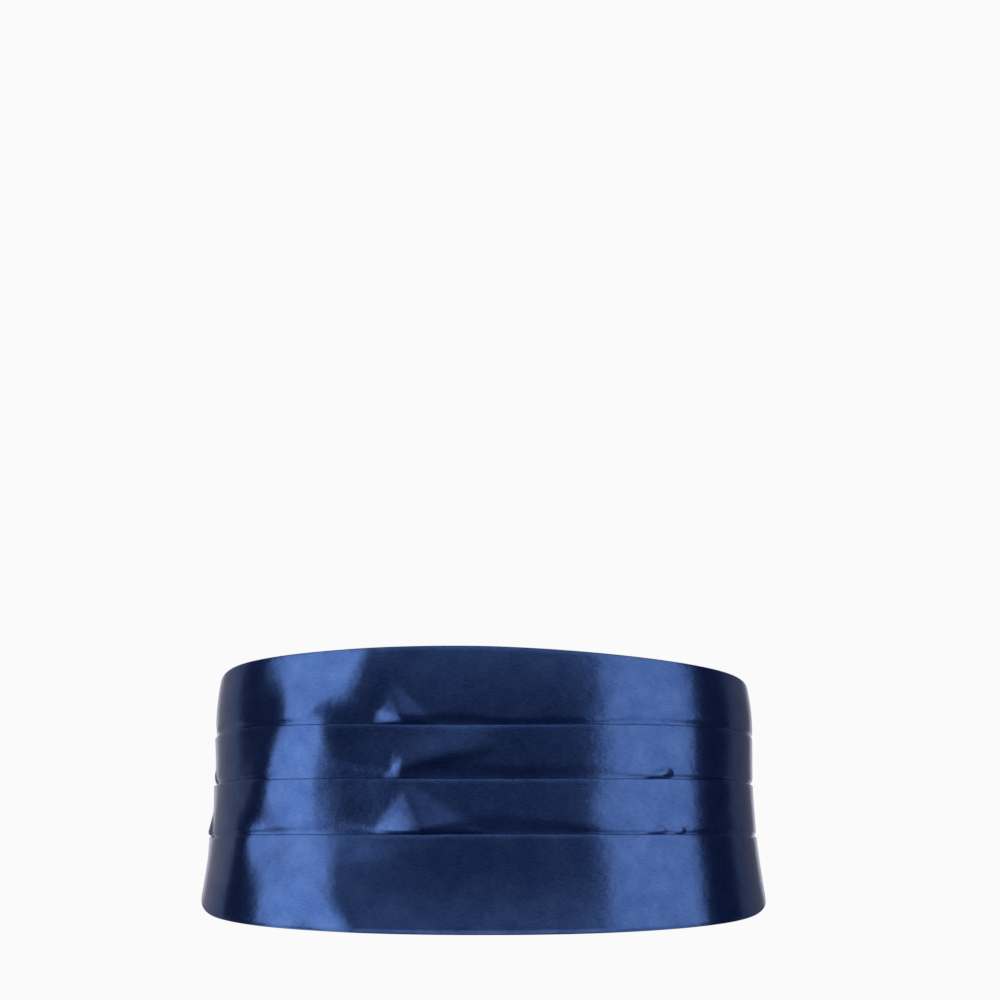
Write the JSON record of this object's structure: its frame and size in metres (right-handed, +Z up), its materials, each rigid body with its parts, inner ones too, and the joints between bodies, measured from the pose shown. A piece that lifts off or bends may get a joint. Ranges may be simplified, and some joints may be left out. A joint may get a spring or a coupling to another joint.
{
  "type": "cummerbund",
  "caption": "Wide pleated satin waist sash with upward-facing folds, tapering to bound ends and narrow back straps joined by a flat slotted clasp.",
  "frame": {"origin": "the middle of the waist that the cummerbund goes round, at the middle of the pleated panel's height", "axes": "+Z up along the middle of the waist, -Y towards the centre front, +X across the width to the right as seen from the front"},
  "size_m": [0.2914, 0.2098, 0.1442],
  "materials": {
    "satin": "glossy satin weave, navy",
    "binding_satin": "glossy satin weave, navy",
    "strap_web": "ribbed woven band, navy",
    "clasp_steel": "nickel plated, satin"
  },
  "bodies": {
    "root": {"pleated_panel": "satin", "end_binding_left": "binding_satin", "end_binding_right": "binding_satin", "strap_left": "strap_web", "strap_right": "strap_web", "clasp": "clasp_steel"}
  },
  "joints": []
}
